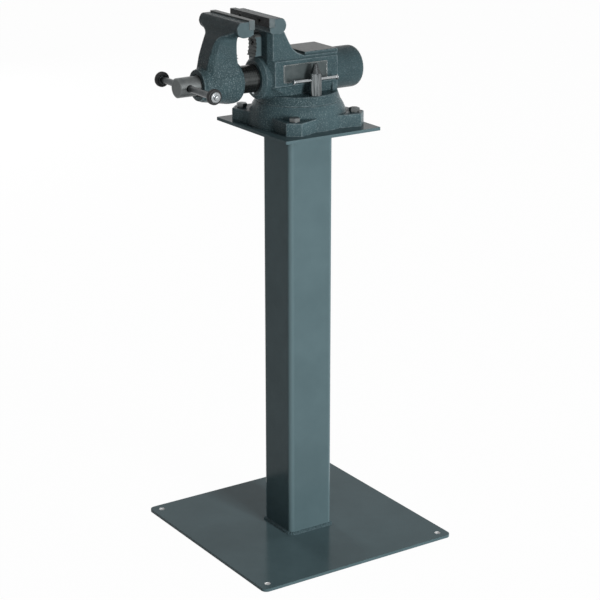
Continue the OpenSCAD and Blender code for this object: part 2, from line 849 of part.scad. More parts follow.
// Rubber ring with rounded edges, pushed onto the bar against its end stop
module handle_ring() {
    half = ring_d / 2;
    color(black) rotate_extrude()
        polygon([[handle_d / 2 + seat_fit, 0], [half - ring_round, 0], [half, ring_round],
                 [half, ring_t - ring_round], [half - ring_round, ring_t],
                 [handle_d / 2 + seat_fit, ring_t]]);
}

module handle_ring_near() { on_handle(handle_low, -1) handle_ring(); }

module handle_ring_far() { on_handle(handle_high, 1) handle_ring(); }

// Steel end stop riveted on the bar
module handle_end() {
    color(steel) translate([0, 0, ring_t]) {
        cylinder(h = end_t - end_taper, d = end_d);
        translate([0, 0, end_t - end_taper]) cylinder(h = end_taper, d1 = end_d, d2 = end_d - 2 * end_taper);
        cylinder(h = end_boss_t + end_t, d = end_boss_d);
    }
}

module handle_end_near() { on_handle(handle_low, -1) handle_end(); }

module handle_end_far() { on_handle(handle_high, 1) handle_end(); }

// Tall round nut with a cross hole for its bar and a turned neck on top
module lock_nut(s) {
    r = lock_nut_d / 2;
    color(steel) on_deck() translate([lock_x, s * slot_r, lock_nut_z]) difference() {
        rotate_extrude()
            polygon([[0, 0], [r, 0], [r, lock_nut_h - lock_chamfer], [r - lock_chamfer, lock_nut_h],
                     [lock_cone_d / 2, lock_nut_h], [lock_neck_d / 2, lock_nut_h + lock_neck_h],
                     [0, lock_nut_h + lock_neck_h]]);
        translate([0, 0, -cut])
            cylinder(h = stud_top - lock_nut_z + cut + move_gap, d = stud_d + 2 * run_fit);
        translate([0, 0, lock_bar_z - lock_nut_z]) rotate([0, 90, 0])
            cylinder(h = lock_nut_d + 2 * cut, r = lock_bar_d / 2 + run_fit, center = true);
    }
}

module lock_nut_near() { lock_nut(-1); }

module lock_nut_far() { lock_nut(1); }

// Lock bar with flared ends
module lock_bar(s) {
    half = lock_bar_l / 2;
    r = lock_bar_d / 2;
    end_r = lock_bar_end_d / 2;
    color(steel) on_deck() translate([lock_x, s * slot_r, lock_bar_z]) rotate([0, 90, 0])
        rotate_extrude()
            polygon([[0, -half], [end_r - end_taper, -half], [end_r, -half + end_taper],
                     [r, -half + lock_bar_end_t], [r, half - lock_bar_end_t],
                     [end_r, half - end_taper], [end_r - end_taper, half], [0, half]]);
}

module lock_bar_near() { lock_bar(-1); }

module lock_bar_far() { lock_bar(1); }

floor_plate();
column_tube();
foot_weld();
head_weld();
head_plate();
swivel_base();
mounting_bolts();
body_casting();
rear_cap();
spindle_nut();
guide_key();
name_plate();
rear_insert();
rear_insert_screws();
rear_pipe_jaw();
rear_pipe_jaw_screw();
t_bolt_near();
t_bolt_far();
front_jaw_casting();
slide_tube();
front_insert();
front_insert_screws();
front_pipe_jaw();
front_pipe_jaw_screw();
spindle();
thrust_washer();
retaining_collar();
collar_pin();
handle_bar();
handle_washers();
handle_ring_near();
handle_ring_far();
handle_end_near();
handle_end_far();
lock_nut_near();
lock_nut_far();
lock_bar_near();
lock_bar_far();
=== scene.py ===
"""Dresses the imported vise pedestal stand: cast, turned, rubber and coated pieces over the CAD frame."""

import json
import math

import bmesh
import bpy
import numpy as np
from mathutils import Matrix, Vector

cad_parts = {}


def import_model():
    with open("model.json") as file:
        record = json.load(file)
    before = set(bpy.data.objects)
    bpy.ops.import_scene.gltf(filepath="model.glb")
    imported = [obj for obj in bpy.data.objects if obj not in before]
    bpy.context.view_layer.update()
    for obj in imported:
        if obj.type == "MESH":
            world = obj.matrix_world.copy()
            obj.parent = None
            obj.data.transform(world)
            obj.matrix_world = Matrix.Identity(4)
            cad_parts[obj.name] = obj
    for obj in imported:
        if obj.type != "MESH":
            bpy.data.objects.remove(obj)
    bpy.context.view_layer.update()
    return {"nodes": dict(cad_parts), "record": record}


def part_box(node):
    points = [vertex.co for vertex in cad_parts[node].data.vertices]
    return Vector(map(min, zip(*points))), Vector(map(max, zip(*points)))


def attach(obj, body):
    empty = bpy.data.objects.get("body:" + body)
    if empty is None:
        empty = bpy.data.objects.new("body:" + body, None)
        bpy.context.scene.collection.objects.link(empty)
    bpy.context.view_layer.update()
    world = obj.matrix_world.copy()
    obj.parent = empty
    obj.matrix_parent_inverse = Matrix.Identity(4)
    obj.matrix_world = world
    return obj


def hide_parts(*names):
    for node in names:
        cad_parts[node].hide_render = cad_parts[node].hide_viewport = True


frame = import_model()

MM = 0.001
BODY_OF = {node: body for body, nodes in frame["record"]["behaviour"]["bodies"].items() for node in nodes}

# Levels and axes read from the frame
DECK_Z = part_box("head_plate")[1].z
TUBE_LOW, TUBE_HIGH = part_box("slide_tube")
AXIS_Z = (TUBE_LOW.z + TUBE_HIGH.z) / 2
TUBE_R = (TUBE_HIGH.z - TUBE_LOW.z) / 2
BAR_LOW, BAR_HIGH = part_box("front_jaw_casting")
BASE_TOP_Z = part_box("swivel_base")[1].z
BODY_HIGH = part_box("body_casting")[1]
PLATE_LOW, PLATE_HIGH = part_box("name_plate")
ANVIL_Z = next(m["pos_m"][2] for m in frame["record"]["mounts"] if m["name"] == "anvil_face")

# Voxel of the remeshed castings, how far a machined area reaches round its edge, and how far a fine one does
CAST_VOXEL = 1.25 * MM
CRISP = 2.5 * MM
PARTING_REACH = 1.5 * MM
ROUND_SEGMENTS = 96
THREAD_SEGMENTS = 48
SHARP_ANGLE = math.radians(32)
# Triangles closer to flat than this are joined, and edges sharper than this are bevelled
FLAT_ANGLE = math.radians(1)
BEVEL_ANGLE = math.radians(40)
# Share of a face's normal along an axis: least for a flat face, least for one with its bevel, most for a wall
FLAT_FACING, FACING, STEEP = 0.97, 0.9, 0.5
# How far a face's centre may lie inside the outermost plane and still count as on it
ON_FACE = 0.4 * MM
# Weld tolerance of a CAD mesh's vertices
SAME_PLACE = 0.01 * MM

# Sizes of the part that no box of the frame gives: the column's outer corners, the spigot that the vise turns
# on, the rear cap's seat, the spindle's journal and the lock nuts below their cones
COLUMN_CORNER_R = 11 * MM
SPIGOT_R = 30 * MM
CAP_SEAT_R = 36 * MM
JOURNAL_R = 12.5 * MM
LOCK_NUT_H = 43.2 * MM
# The spindle's thread, its crests just clear of the nut
SCREW_R, SCREW_LEAD, SCREW_DEPTH = 10.9 * MM, 5.08 * MM, 1.9 * MM
# The anchor holes lie further in from the floor plate's edges than this
HOLE_MARGIN = 12 * MM
# Machined areas: the barrel's bore up to this height above its axis, the cap's seat up to this far before the
# body's rearmost point, the anvil behind this x, the side plate's seat this far up and down from its middle,
# and the ends of a jaw's bar down to this far below the insert's seat
BORE_TOP = 30 * MM
CAP_SEAT_ZONE = 45 * MM
ANVIL_FRONT = -20 * MM
PLATE_REACH = 14 * MM
BAR_DEPTH = 24 * MM


# Mesh helpers

def add_object(name, mesh):
    """An object of the mesh, in the scene."""
    piece = bpy.data.objects.new(name, mesh)
    bpy.context.scene.collection.objects.link(piece)
    return piece


def solid(name, bm):
    """An object from a closed bmesh, its normals turned outwards."""
    bmesh.ops.recalc_face_normals(bm, faces=bm.faces)
    mesh = bpy.data.meshes.new(name)
    bm.to_mesh(mesh)
    bm.free()
    return add_object(name, mesh)


def skin(bm, loops, closed=True):
    """Quads from each loop of vertices to the next one, round the whole loop or along an open row."""
    for low, high in zip(loops, loops[1:]):
        count = len(low)
        for i in range(count if closed else count - 1):
            j = (i + 1) % count
            bm.faces.new([low[i], low[j], high[j], high[i]])


def dress(piece, nodes, *materials):
    """Puts a piece in the place of its CAD nodes, on their body, with their finish."""
    for material in materials:
        piece.data.materials.append(material)
    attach(piece, BODY_OF[nodes[0]])
    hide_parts(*nodes)


def smooth_by_angle(piece, angle=SHARP_ANGLE):
    """Smooth faces with sharp edges where two faces meet at more than the angle, large faces kept flat."""
    bm = bmesh.new()
    bm.from_mesh(piece.data)
    for face in bm.faces:
        face.smooth = True
    for edge in bm.edges:
        edge.smooth = len(edge.link_faces) == 2 and edge.calc_face_angle(0) < angle
    bm.to_mesh(piece.data)
    bm.free()
    normals = piece.modifiers.new("normals", "WEIGHTED_NORMAL")
    normals.mode = "FACE_AREA"
    normals.weight = 50
    normals.keep_sharp = True
    return baked(piece)


def baked(piece):
    """The piece's mesh with its modifiers applied."""
    depsgraph = bpy.context.evaluated_depsgraph_get()
    mesh = bpy.data.meshes.new_from_object(piece.evaluated_get(depsgraph))
    piece.modifiers.clear()
    piece.data = mesh
    return piece


def node_copy(name, node):
    """A welded copy of a CAD node's mesh, its coplanar triangles joined."""
    mesh = frame["nodes"][node].data.copy()
    mesh.materials.clear()
    bm = bmesh.new()
    bm.from_mesh(mesh)
    bmesh.ops.remove_doubles(bm, verts=bm.verts, dist=SAME_PLACE)
    bmesh.ops.dissolve_limit(bm, angle_limit=FLAT_ANGLE, verts=bm.verts, edges=bm.edges)
    bm.to_mesh(mesh)
    bm.free()
    if "custom_normal" in mesh.attributes:
        mesh.attributes.remove(mesh.attributes["custom_normal"])
    return add_object(name, mesh)


def bevelled(name, node, width, segments=2):
    """A CAD node with its edges broken by a small bevel."""
    piece = node_copy(name, node)
    bevel = piece.modifiers.new("bevel", "BEVEL")
    bevel.width = width
    bevel.segments = segments
    bevel.limit_method = "ANGLE"
    bevel.angle_limit = BEVEL_ANGLE
    bevel.harden_normals = False
    baked(piece)
    return smooth_by_angle(piece)


def cast(name, node, passes, crisp):
    """A CAD casting remeshed and rounded, apart from where crisp() says that it is machined."""
    piece = node_copy(name, node)
    remesh = piece.modifiers.new("remesh", "REMESH")
    remesh.mode = "VOXEL"
    remesh.voxel_size = CAST_VOXEL
    baked(piece)
    mesh = piece.data
    count = len(mesh.vertices)
    points = np.zeros(count * 3)
    mesh.vertices.foreach_get("co", points)
    points = points.reshape(-1, 3)
    edges = np.zeros(len(mesh.edges) * 2, dtype=np.int64)
    mesh.edges.foreach_get("vertices", edges)
    a, b = edges[0::2], edges[1::2]
    degree = np.bincount(a, minlength=count) + np.bincount(b, minlength=count)
    share = 0.5 * np.clip(1 - crisp(points), 0, 1)[:, None]
    for _ in range(passes):
        total = np.zeros_like(points)
        for axis in range(3):
            total[:, axis] = (np.bincount(a, weights=points[b, axis], minlength=count)
                              + np.bincount(b, weights=points[a, axis], minlength=count))
        points += share * (total / degree[:, None] - points)
    mesh.vertices.foreach_set("co", points.ravel())
    mesh.polygons.foreach_set("use_smooth", [True] * len(mesh.polygons))
    mesh.update()
    return piece


def paint_faces(piece, index, test):
    """Gives a material to the faces whose centre and normal pass the test."""
    for face in piece.data.polygons:
        if test(face.center, face.normal):
            face.material_index = index


def lathe(name, profile, start, axis, segments=ROUND_SEGMENTS):
    """A turned piece: a profile of (distance along the axis, radius), turned about the axis."""
    axis = Vector(axis).normalized()
    side = axis.orthogonal().normalized()
    up = axis.cross(side)
    bm = bmesh.new()
    rings = []
    for along, radius in profile:
        centre = Vector(start) + axis * along
        if radius == 0:
            rings.append([bm.verts.new(centre)])
            continue
        rings.append([bm.verts.new(centre + radius * (math.cos(t) * side + math.sin(t) * up))
                      for t in (2 * math.pi * i / segments for i in range(segments))])
    for low, high in zip(rings, rings[1:]):
        for i in range(segments):
            j = (i + 1) % segments
            ends = [low[i % len(low)], low[j % len(low)], high[j % len(high)], high[i % len(high)]]
            corners = list(dict.fromkeys(ends))
            if len(corners) > 2:
                bm.faces.new(corners)
    return smooth_by_angle(solid(name, bm))


def rounded(profile, radius, steps=4):
    """Rounds the outer corners of a turned profile: each corner becomes a short arc."""
    out = [profile[0]]
    for before, corner, after in zip(profile, profile[1:], profile[2:]):
        p, c, n = (Vector(v) for v in (before, corner, after))
        r = min(radius, (p - c).length * 0.45, (n - c).length * 0.45)
        enter = c + (p - c).normalized() * r
        leave = c + (n - c).normalized() * r
        for i in range(steps + 1):
            t = i / steps
            out.append(tuple(enter.lerp(c, t).lerp(c.lerp(leave, t), t)))
    out.append(profile[-1])
    return out


def cut(piece, tool):
    """Cuts the tool's shape out of the piece and drops the tool."""
    boolean = piece.modifiers.new("cut", "BOOLEAN")
    boolean.operation = "DIFFERENCE"
    boolean.solver = "EXACT"
    boolean.object = tool
    baked(piece)
    bpy.data.objects.remove(tool)
    return smooth_by_angle(piece)


def join(name, pieces):
    """One object from several."""
    bm = bmesh.new()
    for piece in pieces:
        bm.from_mesh(piece.data)
    mesh = bpy.data.meshes.new(name)
    bm.to_mesh(mesh)
    bm.free()
    for piece in pieces:
        bpy.data.objects.remove(piece)
    return add_object(name, mesh)


def threaded(name, start, axis, length, radius, pitch, depth):
    """A rod with a helical thread, its radius swinging once a pitch and once a turn."""
    axis = Vector(axis).normalized()
    side = axis.orthogonal().normalized()
    up = axis.cross(side)
    rows = max(4, int(length / pitch * 8))
    segments = THREAD_SEGMENTS
    bm = bmesh.new()
    rings = []
    for k in range(rows + 1):
        along = length * k / rows
        ring = []
        for i in range(segments):
            turn = i / segments
            phase = (along / pitch - turn) % 1
            r = radius - depth * abs(2 * phase - 1)
            t = 2 * math.pi * turn
            ring.append(bm.verts.new(Vector(start) + axis * along
                                     + r * (math.cos(t) * side + math.sin(t) * up)))
        rings.append(ring)
    skin(bm, rings)
    bm.faces.new(rings[0])
    bm.faces.new(rings[-1])
    rod = solid(name, bm)
    for face in rod.data.polygons:
        face.use_smooth = len(face.vertices) == 4
    return rod


# Materials

class Shader:
    """A Principled material whose sockets are fed by small procedural nodes in object coordinates."""

    def __init__(self, name, **values):
        self.material = bpy.data.materials.new(name)
        self.material.use_nodes = True
        self.tree = self.material.node_tree
        self.bsdf = self.tree.nodes["Principled BSDF"]
        self.coords = self.node("ShaderNodeTexCoord").outputs["Object"]
        for key, value in values.items():
            self.bsdf.inputs[key.replace("_", " ")].default_value = value

    def node(self, kind, inputs=None, **props):
        """A node with its properties set and its inputs set or linked."""
        made = self.tree.nodes.new(kind)
        for key, value in props.items():
            setattr(made, key, value)
        for key, value in (inputs or {}).items():
            if isinstance(value, bpy.types.NodeSocket):
                self.tree.links.new(value, made.inputs[key])
            else:
                made.inputs[key].default_value = value
        return made

    def finish(self, colour, roughness, normal=None):
        """Feeds the sockets that every finish has, and gives the material."""
        for socket, output in (("Base Color", colour), ("Roughness", roughness), ("Normal", normal)):
            if output is not None:
                self.tree.links.new(output, self.bsdf.inputs[socket])
        return self.material

    def noise(self, size, detail=3.0, roughness=0.55, stretch=(1, 1, 1)):
        """Noise whose features are about the given size in metres, stretched along the axes."""
        mapping = self.node("ShaderNodeMapping", {"Vector": self.coords, "Scale": [1 / s for s in stretch]})
        return self.node("ShaderNodeTexNoise", {"Vector": mapping.outputs["Vector"], "Scale": 1 / size,
                                                "Detail": detail, "Roughness": roughness}).outputs["Fac"]

    def span(self, value, low, high, to_low, to_high):
        """A value's range mapped onto another range, and held to its ends."""
        return self.node("ShaderNodeMapRange", {"Value": value, "From Min": low, "From Max": high,
                                                "To Min": to_low, "To Max": to_high}).outputs["Result"]

    def spread(self, noise, low=0, high=1):
        """A noise value, which seldom leaves 0.3 to 0.7, spread over a range."""
        return self.span(noise, 0.3, 0.7, low, high)

    def math(self, operation, a, b=0.0):
        """The result of a Math node on two values."""
        return self.node("ShaderNodeMath", {0: a, 1: b}, operation=operation).outputs["Value"]

    def tint(self, factor, under, colour):
        """A colour laid over another colour, or over a colour socket, by the factor."""
        mix = self.node("ShaderNodeMix", {"Factor": factor}, data_type="RGBA")
        first, second = [socket for socket in mix.inputs if socket.type == "RGBA"]
        if isinstance(under, bpy.types.NodeSocket):
            self.tree.links.new(under, first)
        else:
            first.default_value = (*under, 1)
        second.default_value = (*colour, 1)
        return next(socket for socket in mix.outputs if socket.type == "RGBA")

    def bump(self, height, depth, strength=1.0):
        """A normal tilted by the height, which is the depth at 1."""
        return self.node("ShaderNodeBump", {"Height": height, "Distance": depth,
                                            "Strength": strength}).outputs["Normal"]

    def edge(self, low, high):
        """0 on flat areas, 1 on sharp outer edges."""
        pointiness = self.node("ShaderNodeNewGeometry").outputs["Pointiness"]
        return self.span(pointiness, low, high, 0.0, 1.0)


def powder_coat(name="powder_coat", corner_reach=None):
    """Semi-gloss dark coat with faint orange peel, and a painted highlight: lighter where |x| + |y| nears
    that of a tube's corners.
    """
    s = Shader(name, Specular_IOR_Level=0.06)
    dark, pale, edge = (0.092, 0.144, 0.158), (0.106, 0.164, 0.180), (0.135, 0.205, 0.223)
    fade_start, fade_end = 3.5 * MM, 0.8 * MM
    tone = s.tint(s.span(s.noise(0.12, 4, 0.6), 0.35, 0.65, 0, 1), dark, pale)
    # Painted highlight: the edge colour laid on a stripe along the tube's rounded corners
    if corner_reach:
        across = s.node("ShaderNodeSeparateXYZ", {"Vector": s.coords}).outputs
        out = s.math("ADD", s.math("ABSOLUTE", across["X"]), s.math("ABSOLUTE", across["Y"]))
        tone = s.tint(s.span(out, corner_reach - fade_start, corner_reach - fade_end, 0, 1), tone, edge)
    return s.finish(tone,
                    s.spread(s.noise(9 * MM, 3), 0.13, 0.19),
                    s.bump(s.noise(2.4 * MM, 2, 0.5), 0.04 * MM, 0.4))


def weld_coat():
    """The same coat over the uneven weld bead."""
    s = Shader("weld_coat", Specular_IOR_Level=0.06)
    dark, pale = (0.050, 0.082, 0.092), (0.090, 0.140, 0.155)
    return s.finish(s.tint(s.spread(s.noise(4 * MM)), dark, pale),
                    s.spread(s.noise(3 * MM), 0.30, 0.44),
                    s.bump(s.noise(2.5 * MM, 4), 0.3 * MM, 0.8))


def hammer_paint(name, low, high, faint, painted_light_gain=1.0):
    """Hammered enamel over cast iron: glossy grain, pale flecks that are partly hammertone fleck and partly
    painted glints, faint higher up as painted light, painted highlights on sharp edges, and a painted light
    gain on the whole tone.
    """
    s = Shader(name, Specular_IOR_Level=0.06)
    # painted_light_gain lightens the whole enamel as painted light
    dark, pale = (tuple(painted_light_gain * c for c in tone) for tone in ((0.040, 0.068, 0.077), (0.052, 0.088, 0.098)))
    fleck_and_glint_tone, wear_and_edge_highlight = (0.20, 0.275, 0.29), (0.19, 0.25, 0.27)
    tone = s.tint(s.spread(s.noise(35 * MM, 4, 0.6)), dark, pale)
    grain = s.noise(2.2 * MM, 1.0, 0.5)
    # Pale flecks on the grain: partly hammertone fleck, partly painted glints, full below low and faint above
    # high as painted light
    height = s.node("ShaderNodeSeparateXYZ", {"Vector": s.coords}).outputs["Z"]
    glint_fade = s.span(height, DECK_Z + low, DECK_Z + high, 1, faint)
    flecks_and_glints = s.math("MULTIPLY", s.span(grain, 0.53, 0.68, 0, 0.52), glint_fade)
    tone = s.tint(flecks_and_glints, tone, fleck_and_glint_tone)
    # Painted highlight on sharp outer edges, where ridges would catch the light
    edge_highlight = s.math("MULTIPLY", s.edge(0.503, 0.520), s.noise(7 * MM))
    tone = s.tint(s.span(edge_highlight, 0.3, 0.6, 0, 0.6), tone, wear_and_edge_highlight)
    return s.finish(tone, s.spread(grain, 0.26, 0.18), s.bump(s.spread(grain), 0.55 * MM))


def smooth_paint():
    """The same enamel on machined ends, where the iron under it is flat."""
    s = Shader("smooth_paint", Specular_IOR_Level=0.12)
    dark, pale = (0.074, 0.112, 0.122), (0.088, 0.130, 0.142)
    return s.finish(s.tint(s.spread(s.noise(12 * MM, 4)), dark, pale),
                    s.spread(s.noise(5 * MM), 0.34, 0.46),
                    s.bump(s.noise(1.2 * MM), 0.03 * MM, 0.4))


def bare_iron():
    """Ground cast iron of the anvil face, with fine grinding lines."""
    s = Shader("bare_iron", Metallic=0.15, Specular_IOR_Level=0.25)
    dark, pale = (0.215, 0.225, 0.225), (0.262, 0.270, 0.268)
    lines = s.noise(1.2 * MM, 3, 0.6, stretch=(1, 30, 1))
    return s.finish(s.tint(s.spread(s.noise(10 * MM, 4)), dark, pale),
                    s.spread(lines, 0.42, 0.56),
                    s.bump(lines, 0.04 * MM, 0.4))


def bare_steel():
    """Clean steel in the drilled anchor holes."""
    s = Shader("bare_steel", Metallic=0.2, Specular_IOR_Level=0.3)
    dark, pale = (0.62, 0.63, 0.63), (0.78, 0.79, 0.79)
    return s.finish(s.tint(s.noise(3 * MM), dark, pale), s.spread(s.noise(1.5 * MM), 0.3, 0.45))


def turned_steel():
    """Turned steel of the spindle, with tool marks round its axis."""
    s = Shader("turned_steel", Metallic=1.0)
    clean, stained = (0.165, 0.176, 0.177), (0.105, 0.114, 0.115)
    marks = s.noise(0.8 * MM, 2, 0.5, stretch=(1, 40, 40))
    stain = s.span(s.noise(14 * MM, 5, 0.65), 0.35, 0.7, 0, 1)
    return s.finish(s.tint(stain, clean, stained), s.spread(marks, 0.36, 0.50), s.bump(marks, 0.03 * MM, 0.5))


def head_face_steel():
    """Dark end face of the spindle's head, left as forged."""
    s = Shader("head_face_steel", Metallic=0.8)
    dark, pale = (0.070, 0.078, 0.078), (0.13, 0.14, 0.14)
    mottle = s.noise(3 * MM, 5, 0.7)
    return s.finish(s.tint(s.spread(mottle), dark, pale),
                    s.spread(mottle, 0.42, 0.6),
                    s.bump(mottle, 0.12 * MM, 0.6))


def plated_steel():
    """Bright zinc plating of lock bars, handle ends and the guide key."""
    s = Shader("plated_steel", Metallic=1.0)
    dark, pale = (0.27, 0.29, 0.30), (0.40, 0.42, 0.43)
    return s.finish(s.tint(s.spread(s.noise(6 * MM, 4, 0.6)), dark, pale),
                    s.spread(s.noise(1.5 * MM), 0.16, 0.30),
                    s.bump(s.noise(1.0 * MM), 0.02 * MM, 0.4))


def reflection_streaked_steel():
    """Polished steel of the lock nuts, with dark and light streaks along them that are painted reflections of
    the surroundings.
    """
    s = Shader("reflection_streaked_steel", Metallic=1.0)
    dark, pale = (0.035, 0.042, 0.045), (0.24, 0.26, 0.265)
    reflection_streak = s.noise(2.4 * MM, 3, 0.6, stretch=(1, 1, 30))
    # Painted reflection: dark and light streaks for surroundings mirrored in the polished nut
    return s.finish(s.tint(s.span(reflection_streak, 0.42, 0.58, 0, 1), dark, pale),
                    s.spread(reflection_streak, 0.14, 0.28),
                    s.bump(reflection_streak, 0.06 * MM, 0.5))


def handle_steel():
    """Darker steel of the handle bar, scuffed along its length."""
    s = Shader("handle_steel", Metallic=1.0)
    dark, pale = (0.035, 0.040, 0.042), (0.085, 0.092, 0.095)
    scuff = s.noise(1.2 * MM, 3, 0.6, stretch=(1, 25, 1))
    return s.finish(s.tint(s.spread(s.noise(18 * MM, 4)), dark, pale),
                    s.spread(scuff, 0.2, 0.36),
                    s.bump(scuff, 0.02 * MM, 0.4))


def slide_steel():
    """Dark oiled steel of the slide tube, with faint turning lines and long rub marks."""
    s = Shader("slide_steel", Metallic=0.85)
    dark, pale = (0.030, 0.034, 0.034), (0.075, 0.080, 0.080)
    rub = s.noise(2.0 * MM, 4, 0.6, stretch=(30, 1, 1))
    rings = s.noise(0.9 * MM, 2, 0.5, stretch=(1, 40, 40))
    return s.finish(s.tint(s.span(rub, 0.35, 0.68, 0, 1), dark, pale),
                    s.spread(rings, 0.22, 0.36),
                    s.bump(rings, 0.008 * MM, 0.3))


def jaw_steel():
    """Hardened dark steel of the inserts and pipe jaws, its edges worn."""
    s = Shader("jaw_steel", Metallic=0.35, Specular_IOR_Level=0.1)
    dark, pale, wear_and_edge_highlight = (0.020, 0.024, 0.024), (0.040, 0.046, 0.046), (0.14, 0.15, 0.15)
    tone = s.tint(s.spread(s.noise(5 * MM, 4, 0.6)), dark, pale)
    return s.finish(s.tint(s.edge(0.51, 0.56), tone, wear_and_edge_highlight),
                    s.spread(s.noise(1.5 * MM), 0.36, 0.52),
                    s.bump(s.noise(0.9 * MM), 0.04 * MM, 0.5))


def ground_steel():
    """Lighter ground ends of the inserts."""
    s = Shader("ground_steel", Metallic=0.1, Specular_IOR_Level=0.12)
    dark, pale = (0.095, 0.122, 0.128), (0.130, 0.156, 0.162)
    lines = s.noise(0.9 * MM, 3, 0.6, stretch=(1, 35, 1))
    return s.finish(s.tint(s.spread(s.noise(9 * MM)), dark, pale),
                    s.spread(lines, 0.34, 0.48),
                    s.bump(lines, 0.03 * MM, 0.4))


def serrated_steel():
    """Gripping faces: crossed rows of fine teeth cut into dark steel."""
    s = Shader("serrated_steel", Metallic=0.35, Specular_IOR_Level=0.1)
    dark, pale = (0.012, 0.013, 0.014), (0.040, 0.044, 0.045)
    pitch = 1.6 * MM
    # A wave texture has 20 / (2 pi) bands in a unit at scale 1
    scale = 2 * math.pi / (20 * pitch)
    rows = []
    for lean in (1, -1):
        turn = (math.radians(45 * lean), 0, 0)
        mapping = s.node("ShaderNodeMapping", {"Vector": s.coords, "Rotation": turn})
        rows.append(s.node("ShaderNodeTexWave", {"Vector": mapping.outputs["Vector"], "Scale": scale},
                           bands_direction="Y", wave_profile="TRI").outputs["Fac"])
    teeth = s.math("MINIMUM", *rows)
    return s.finish(s.tint(s.span(teeth, 0.1, 0.6, 0, 1), dark, pale),
                    s.spread(s.noise(2 * MM), 0.40, 0.58),
                    s.bump(teeth, 0.45 * MM, 0.8))


def black_oxide():
    """Blackened screws."""
    s = Shader("black_oxide", Metallic=0.5)
    dark, pale = (0.008, 0.009, 0.009), (0.020, 0.022, 0.022)
    return s.finish(s.tint(s.noise(3 * MM), dark, pale), s.spread(s.noise(1.5 * MM), 0.32, 0.46))


def ring_rubber():
    """Black rubber of the handle's rings, matt with a fine moulding grain."""
    s = Shader("ring_rubber", Specular_IOR_Level=0.25)
    dark, pale = (0.010, 0.010, 0.011), (0.020, 0.021, 0.022)
    return s.finish(s.tint(s.noise(5 * MM), dark, pale),
                    s.spread(s.noise(2 * MM), 0.42, 0.6),
                    s.bump(s.noise(0.8 * MM), 0.04 * MM, 0.5))


def plate_field():
    """Grey etched field of the blank side plate."""
    s = Shader("plate_field", Metallic=0.3, Specular_IOR_Level=0.25)
    dark, pale = (0.045, 0.060, 0.062), (0.072, 0.088, 0.090)
    brushed = s.noise(0.8 * MM, 3, 0.6, stretch=(35, 1, 1))
    return s.finish(s.tint(s.spread(s.noise(16 * MM, 4)), dark, pale),
                    s.spread(brushed, 0.38, 0.52),
                    s.bump(brushed, 0.02 * MM, 0.4))


def plate_rim():
    """Bright polished rim of the blank side plate."""
    s = Shader("plate_rim", Metallic=1.0)
    dark, pale = (0.50, 0.53, 0.53), (0.64, 0.67, 0.67)
    return s.finish(s.tint(s.noise(8 * MM), dark, pale), s.spread(s.noise(2 * MM), 0.18, 0.30))


COAT, WELD, PAINT_SMOOTH = powder_coat(), weld_coat(), smooth_paint()
IRON, TURNED, HEAD_FACE, PLATED = bare_iron(), turned_steel(), head_face_steel(), plated_steel()
HANDLE, SLIDE, JAW, GROUND = handle_steel(), slide_steel(), jaw_steel(), ground_steel()
SERRATED, OXIDE, RUBBER = serrated_steel(), black_oxide(), ring_rubber()
FIELD, RIM, REFLECTION_STREAKED, BARE = plate_field(), plate_rim(), reflection_streaked_steel(), bare_steel()


# Stand

def plates_and_column():
    """Floor plate with bare walls in its anchor holes, head plate and column, the column's coat with a
    painted highlight along its corners.
    """
    floor_plate = bevelled("floor_plate_body", "floor_plate", width=0.9 * MM)
    dress(floor_plate, ["floor_plate"], COAT, BARE)
    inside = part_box("floor_plate")[1].x - HOLE_MARGIN
    paint_faces(floor_plate, 1, lambda c, n: abs(n.z) < STEEP and max(abs(c.x), abs(c.y)) < inside)
    dress(bevelled("head_plate_body", "head_plate", width=0.8 * MM), ["head_plate"], COAT)
    column = bevelled("column_body", "column_tube", width=0.5 * MM, segments=1)
    # The column's coat gets a painted highlight along its rounded corners
    corner_reach = max(abs(v.co.x) + abs(v.co.y) for v in column.data.vertices)
    dress(column, ["column_tube"], powder_coat("column_coat_painted_highlight", corner_reach))


def turned(v, angle):
    """A level vector turned about Z."""
    return Vector((v.x * math.cos(angle) - v.y * math.sin(angle),
                   v.x * math.sin(angle) + v.y * math.cos(angle), 0))


